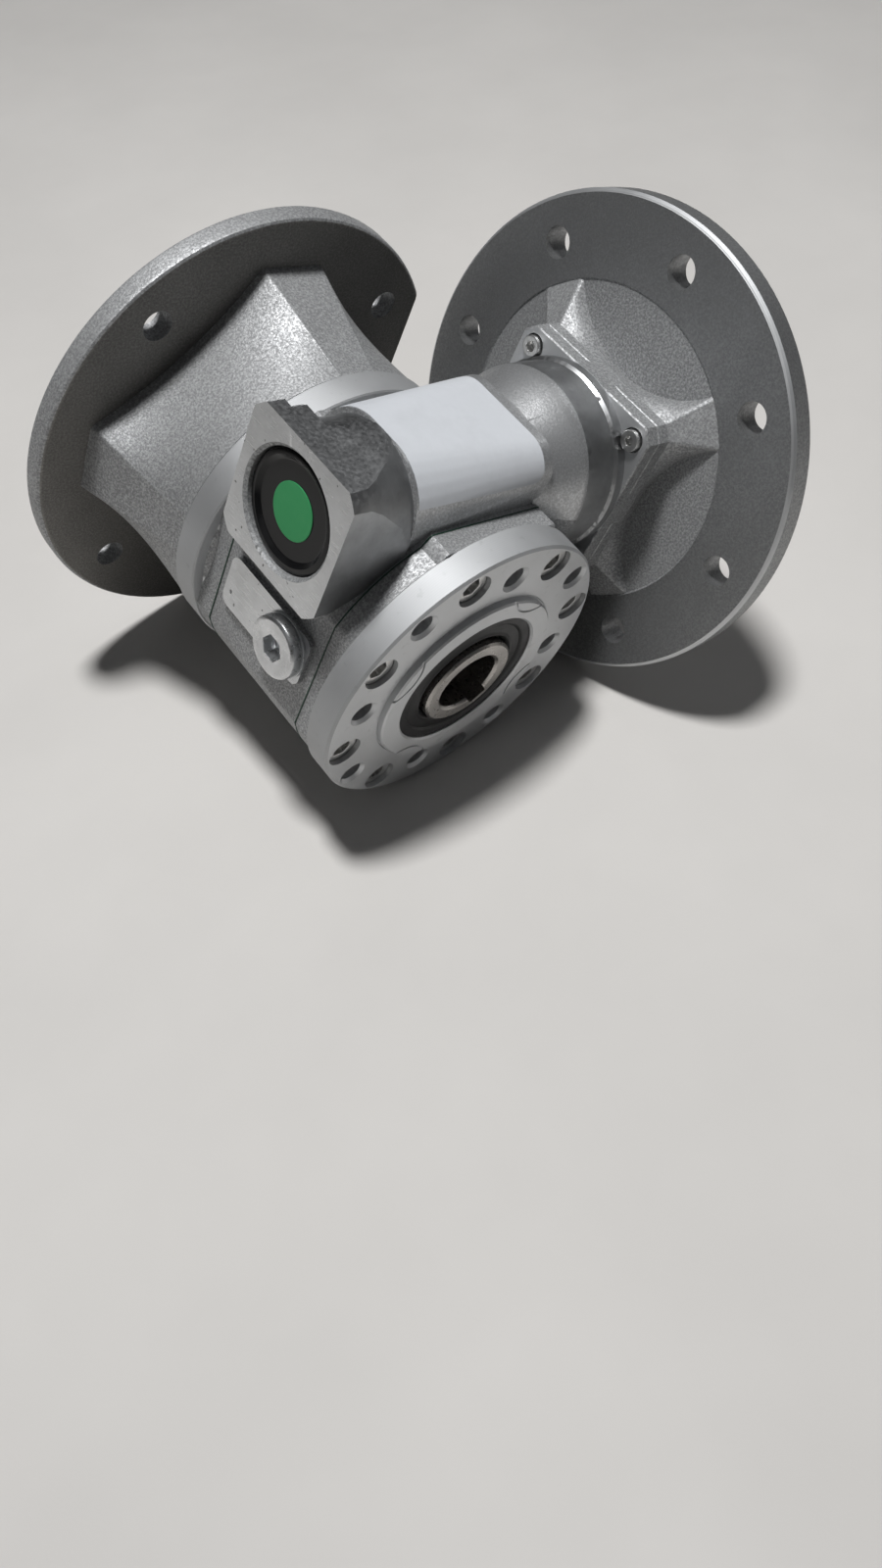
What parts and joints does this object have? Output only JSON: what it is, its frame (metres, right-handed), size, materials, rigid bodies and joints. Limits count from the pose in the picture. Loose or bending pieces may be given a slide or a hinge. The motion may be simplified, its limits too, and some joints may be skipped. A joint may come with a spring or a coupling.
{
  "type": "worm gearbox",
  "caption": "Compact worm gearbox with a hollow keyed output shaft, a bolted output flange on one side and a motor flange on the worm.",
  "frame": {"origin": "on the output axis, midway between the two cover faces", "axes": "+X along the worm towards the motor flange, +Y along the output axis towards the output flange, +Z from the output axis up to the worm"},
  "size_m": [0.1451, 0.1497, 0.18],
  "materials": {
    "cast_aluminium": "fine sand-blasted casting with turned rims",
    "plug_aluminium": "satin",
    "zinc_screws": "dull zinc",
    "spring_steel": "dark phosphate",
    "shaft_steel": "ground",
    "hub_iron": "machined",
    "bronze": "machined",
    "black_rubber": "moulded, slightly glossy",
    "green_sealant": "cured bead",
    "green_disc": "matt",
    "label_paper": "blank coated paper",
    "bearing_steel": "polished",
    "cage_steel": "pressed"
  },
  "bodies": {
    "case": {"housing": "cast_aluminium", "near_cover": "cast_aluminium", "far_cover": "cast_aluminium", "near_cover_gasket": "green_sealant", "far_cover_gasket": "green_sealant", "near_cover_screws": "zinc_screws", "far_cover_screws": "zinc_screws", "near_output_seal": "black_rubber", "far_output_seal": "black_rubber", "output_flange": "cast_aluminium", "output_flange_screws": "zinc_screws", "motor_flange": "cast_aluminium", "motor_flange_screws": "zinc_screws", "input_seal": "black_rubber", "worm_circlip": "spring_steel", "end_cap": "black_rubber", "cap_disc": "green_disc", "oil_plug": "plug_aluminium", "plug_washer": "plug_aluminium", "near_bearing_outer": "bearing_steel", "far_bearing_outer": "bearing_steel", "cap_bearing_outer": "bearing_steel", "motor_bearing_outer": "bearing_steel"},
    "output": {"output_shaft": "shaft_steel", "wheel_hub": "hub_iron", "wheel_rim": "bronze", "wheel_key": "shaft_steel", "near_bearing_inner": "bearing_steel", "far_bearing_inner": "bearing_steel"},
    "worm": {"worm_shaft": "shaft_steel", "worm_end_circlip": "spring_steel", "cap_bearing_inner": "bearing_steel", "motor_bearing_inner": "bearing_steel"},
    "near_cage": {"near_bearing_balls": "bearing_steel", "near_bearing_cage": "cage_steel"},
    "far_cage": {"far_bearing_balls": "bearing_steel", "far_bearing_cage": "cage_steel"},
    "cap_cage": {"cap_bearing_balls": "bearing_steel", "cap_bearing_cage": "cage_steel"},
    "motor_cage": {"motor_bearing_balls": "bearing_steel", "motor_bearing_cage": "cage_steel"}
  },
  "joints": [
    {"name": "output_spin", "type": "hinge", "parent": "case", "child": "output", "pos_m": [0, 0, 0], "axis": [0, 1, 0], "continuous": true},
    {"name": "worm_spin", "type": "hinge", "parent": "case", "child": "worm", "pos_m": [0, 0, 0.04], "axis": [1, 0, 0], "continuous": true},
    {"name": "near_cage_spin", "type": "hinge", "parent": "case", "child": "near_cage", "pos_m": [0, -0.0245, 0], "axis": [0, 1, 0], "continuous": true},
    {"name": "far_cage_spin", "type": "hinge", "parent": "case", "child": "far_cage", "pos_m": [0, 0.0245, 0], "axis": [0, 1, 0], "continuous": true},
    {"name": "cap_cage_spin", "type": "hinge", "parent": "case", "child": "cap_cage", "pos_m": [-0.036, 0, 0.04], "axis": [1, 0, 0], "continuous": true},
    {"name": "motor_cage_spin", "type": "hinge", "parent": "case", "child": "motor_cage", "pos_m": [0.0375, 0, 0.04], "axis": [1, 0, 0], "continuous": true}
  ],
  "couplings": [
    {"joint": "worm_spin", "follows": "output_spin", "ratio": -30},
    {"joint": "near_cage_spin", "follows": "output_spin", "ratio": 0.41647},
    {"joint": "far_cage_spin", "follows": "output_spin", "ratio": 0.41647},
    {"joint": "cap_cage_spin", "follows": "output_spin", "ratio": -10.977},
    {"joint": "motor_cage_spin", "follows": "output_spin", "ratio": -12.896}
  ]
}
